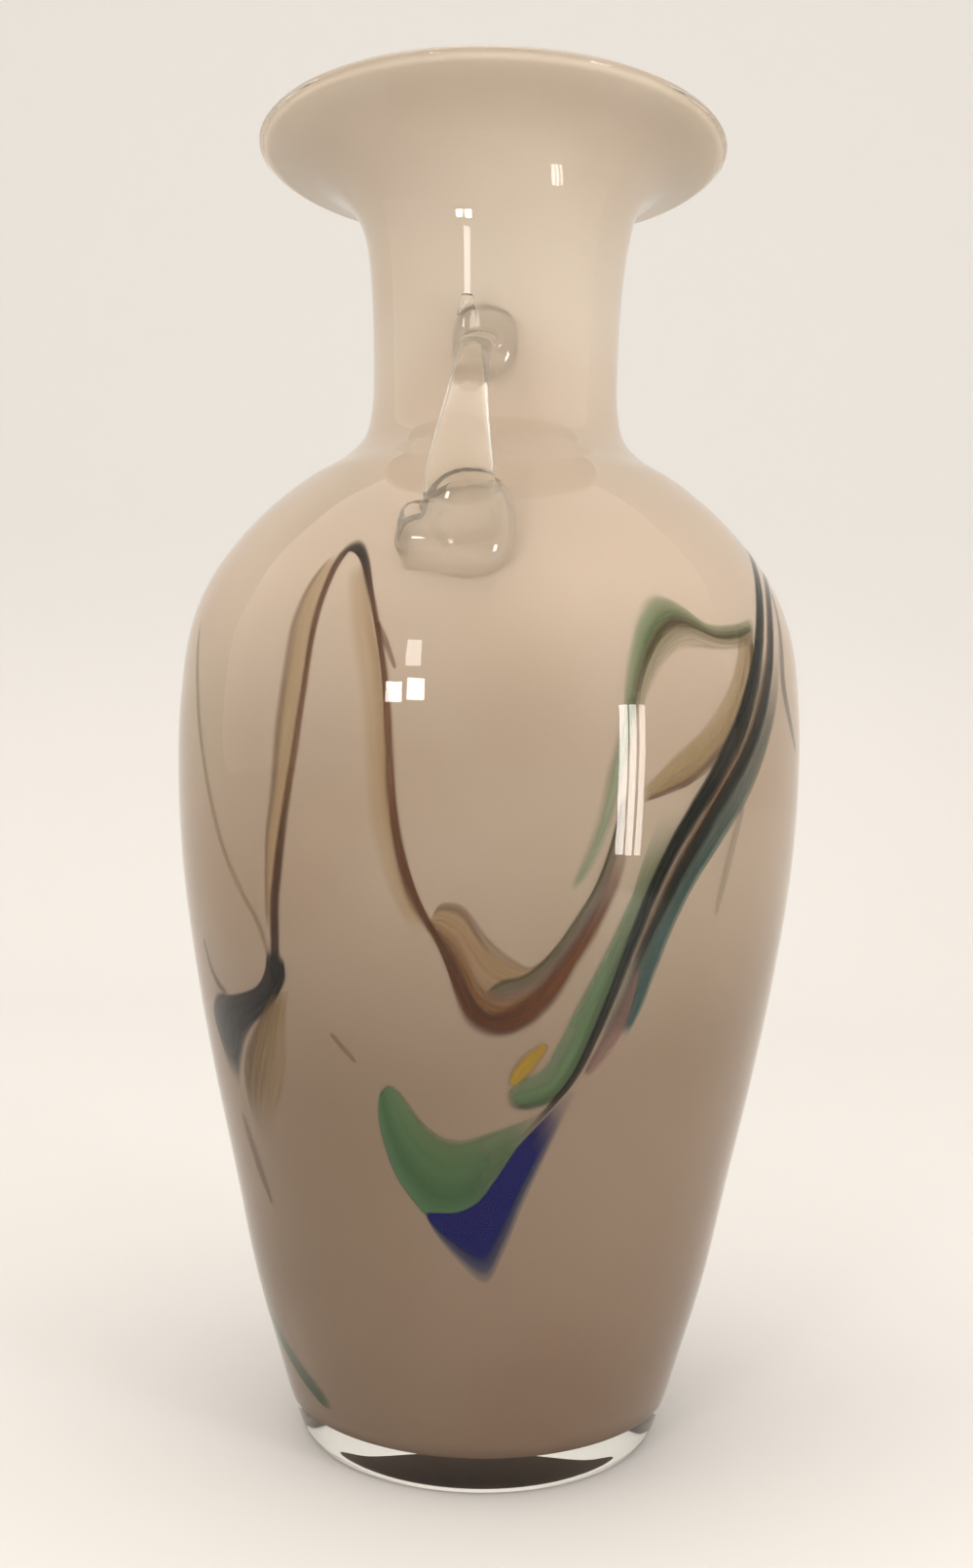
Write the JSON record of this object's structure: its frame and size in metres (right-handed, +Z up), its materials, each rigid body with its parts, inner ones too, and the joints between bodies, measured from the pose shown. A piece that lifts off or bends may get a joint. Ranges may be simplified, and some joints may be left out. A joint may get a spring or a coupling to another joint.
{
  "type": "art glass vase",
  "caption": "Tall round-shouldered blown glass vase with a flared lip, thick clear foot, drawn colour trails under a clear casing and small clear loop handles.",
  "frame": {"origin": "centre of the flat ground foot, on the surface that the vase stands on", "axes": "+Z up along the vase's axis, -Y towards the front handle, +X to the right seen from the front"},
  "size_m": [0.1468, 0.1468, 0.3035],
  "materials": {
    "opal_glass": "opaque opal glass, gloss",
    "clear_glass": "clear, fire polished",
    "dark_brown_glass": "coloured glass under clear casing",
    "olive_brown_glass": "coloured glass under clear casing",
    "amber_glass": "coloured glass under clear casing",
    "sage_green_glass": "coloured glass under clear casing",
    "cobalt_blue_glass": "coloured glass under clear casing",
    "pale_green_glass": "coloured glass under clear casing",
    "bottle_green_glass": "coloured glass under clear casing",
    "grey_teal_glass": "coloured glass under clear casing",
    "mauve_glass": "coloured glass under clear casing",
    "moss_green_glass": "coloured glass under clear casing",
    "straw_yellow_glass": "coloured glass under clear casing"
  },
  "bodies": {
    "root": {"opal_core": "opal_glass", "clear_casing": "clear_glass", "front_handle": "clear_glass", "back_handle": "clear_glass", "brown_arch_thread": "dark_brown_glass", "olive_inner_thread": "olive_brown_glass", "amber_fill": "amber_glass", "amber_veil_left": "amber_glass", "amber_veil_right": "amber_glass", "dark_knot": "dark_brown_glass", "amber_smear": "amber_glass", "sage_patch": "sage_green_glass", "cobalt_patch": "cobalt_blue_glass", "pale_green_patch": "pale_green_glass", "bottle_green_inner_strand": "bottle_green_glass", "bottle_green_outer_strand": "bottle_green_glass", "teal_strip": "grey_teal_glass", "mauve_tip": "mauve_glass", "amber_band": "amber_glass", "moss_loop": "moss_green_glass", "moss_streak": "moss_green_glass", "yellow_fleck": "straw_yellow_glass", "left_fine_thread": "olive_brown_glass", "left_low_thread": "olive_brown_glass", "left_brown_dash": "olive_brown_glass", "brown_tick": "olive_brown_glass", "grey_hair_line": "grey_teal_glass", "right_edge_streak": "grey_teal_glass", "lower_left_green_strip": "bottle_green_glass", "back_brown_arch_thread": "dark_brown_glass", "back_amber_veil": "amber_glass", "back_sage_patch": "sage_green_glass", "back_cobalt_patch": "cobalt_blue_glass", "back_amber_band": "amber_glass"}
  },
  "joints": []
}
